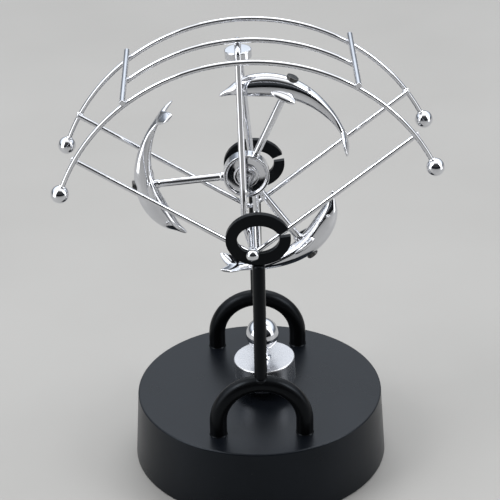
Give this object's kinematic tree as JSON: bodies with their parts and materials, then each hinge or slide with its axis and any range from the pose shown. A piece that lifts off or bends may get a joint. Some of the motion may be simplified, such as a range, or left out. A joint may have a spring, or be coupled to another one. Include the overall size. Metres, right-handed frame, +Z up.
{
  "type": "kinetic desk sculpture",
  "caption": "Desk toy with a round base, a wire frame that swings on a pendulum weight in two open rings, and a chrome rotor of leaping dolphins inside it.",
  "frame": {"origin": "middle of the base where its feet meet the table", "axes": "+Z up, -Y towards the front, +X to the viewer's right; both hinges turn about +Y"},
  "size_m": [0.171, 0.1192, 0.2106],
  "materials": {
    "black_satin_plastic": "fine satin moulded black",
    "black_matte_plastic": "plain moulded black",
    "black_powder_coat": "satin black coating on steel",
    "wire_chrome": "bright mirror chrome",
    "weight_chrome": "bright mirror chrome",
    "rotor_chrome": "bright chrome over moulded plastic",
    "battery_sleeve": "plain unprinted sleeve",
    "contact_steel": "nickel plated spring steel",
    "foot_rubber": "soft matte rubber",
    "screw_steel": "zinc plated",
    "bobbin_plastic": "natural nylon",
    "copper_wire": "enamelled copper wire",
    "board_green": "solder-masked laminate",
    "component_black": "moulded component case",
    "lead_insulation": "PVC insulation",
    "bush_steel": "turned steel bush",
    "magnet_black": "dark nickel coated magnet"
  },
  "bodies": {
    "stand": {"base_shell": "black_satin_plastic", "base_cover": "black_matte_plastic", "battery_box": "black_matte_plastic", "battery_cells": "battery_sleeve", "battery_contacts": "contact_steel", "rubber_feet": "foot_rubber", "cover_screws": "screw_steel", "coil_bobbin": "bobbin_plastic", "coil_core": "screw_steel", "coil_winding": "copper_wire", "circuit_board": "board_green", "board_spacers": "bobbin_plastic", "capacitor": "component_black", "transistor": "component_black", "battery_leads": "lead_insulation", "coil_leads": "copper_wire", "front_arch": "black_powder_coat", "front_ring": "black_powder_coat", "front_post": "black_powder_coat", "rear_arch": "black_powder_coat", "rear_ring": "black_powder_coat", "rear_post": "black_powder_coat", "arch_screws": "screw_steel"},
    "battery_door": {"battery_door": "black_matte_plastic"},
    "swing_frame": {"front_arc": "wire_chrome", "rear_arc": "wire_chrome", "arc_end_balls": "weight_chrome", "middle_arc": "wire_chrome", "left_crossbar": "wire_chrome", "right_crossbar": "wire_chrome", "front_vee": "wire_chrome", "front_leg": "wire_chrome", "front_axle_pin": "wire_chrome", "front_axle_ball": "wire_chrome", "rear_vee": "wire_chrome", "rear_leg": "wire_chrome", "rear_axle_pin": "wire_chrome", "rear_axle_ball": "wire_chrome", "top_disc": "weight_chrome", "pendulum_ball": "weight_chrome", "pendulum_neck": "weight_chrome", "pendulum_weight": "weight_chrome", "drive_magnet": "magnet_black", "rotor_pin": "wire_chrome", "rotor_collars": "wire_chrome"},
    "rotor": {"rotor_hub": "rotor_chrome", "hub_bush": "bush_steel", "upper_spoke": "rotor_chrome", "left_spoke": "rotor_chrome", "lower_spoke": "rotor_chrome", "upper_dolphin": "rotor_chrome", "left_dolphin": "rotor_chrome", "lower_dolphin": "rotor_chrome", "magnet_caps": "magnet_black"}
  },
  "joints": [
    {"name": "frame_swing", "type": "hinge", "parent": "stand", "child": "swing_frame", "pos_m": [-0.0026, 0, 0.12767], "axis": [0, 1, 0], "range_deg": [-15, 21]},
    {"name": "rotor_spin", "type": "hinge", "parent": "swing_frame", "child": "rotor", "pos_m": [-0.00413, 0, 0.14542], "axis": [0, 1, 0], "continuous": true},
    {"name": "battery_door_slide", "type": "slide", "parent": "stand", "child": "battery_door", "axis": [0, 1, 0], "range_m": [0, 0.008]}
  ]
}
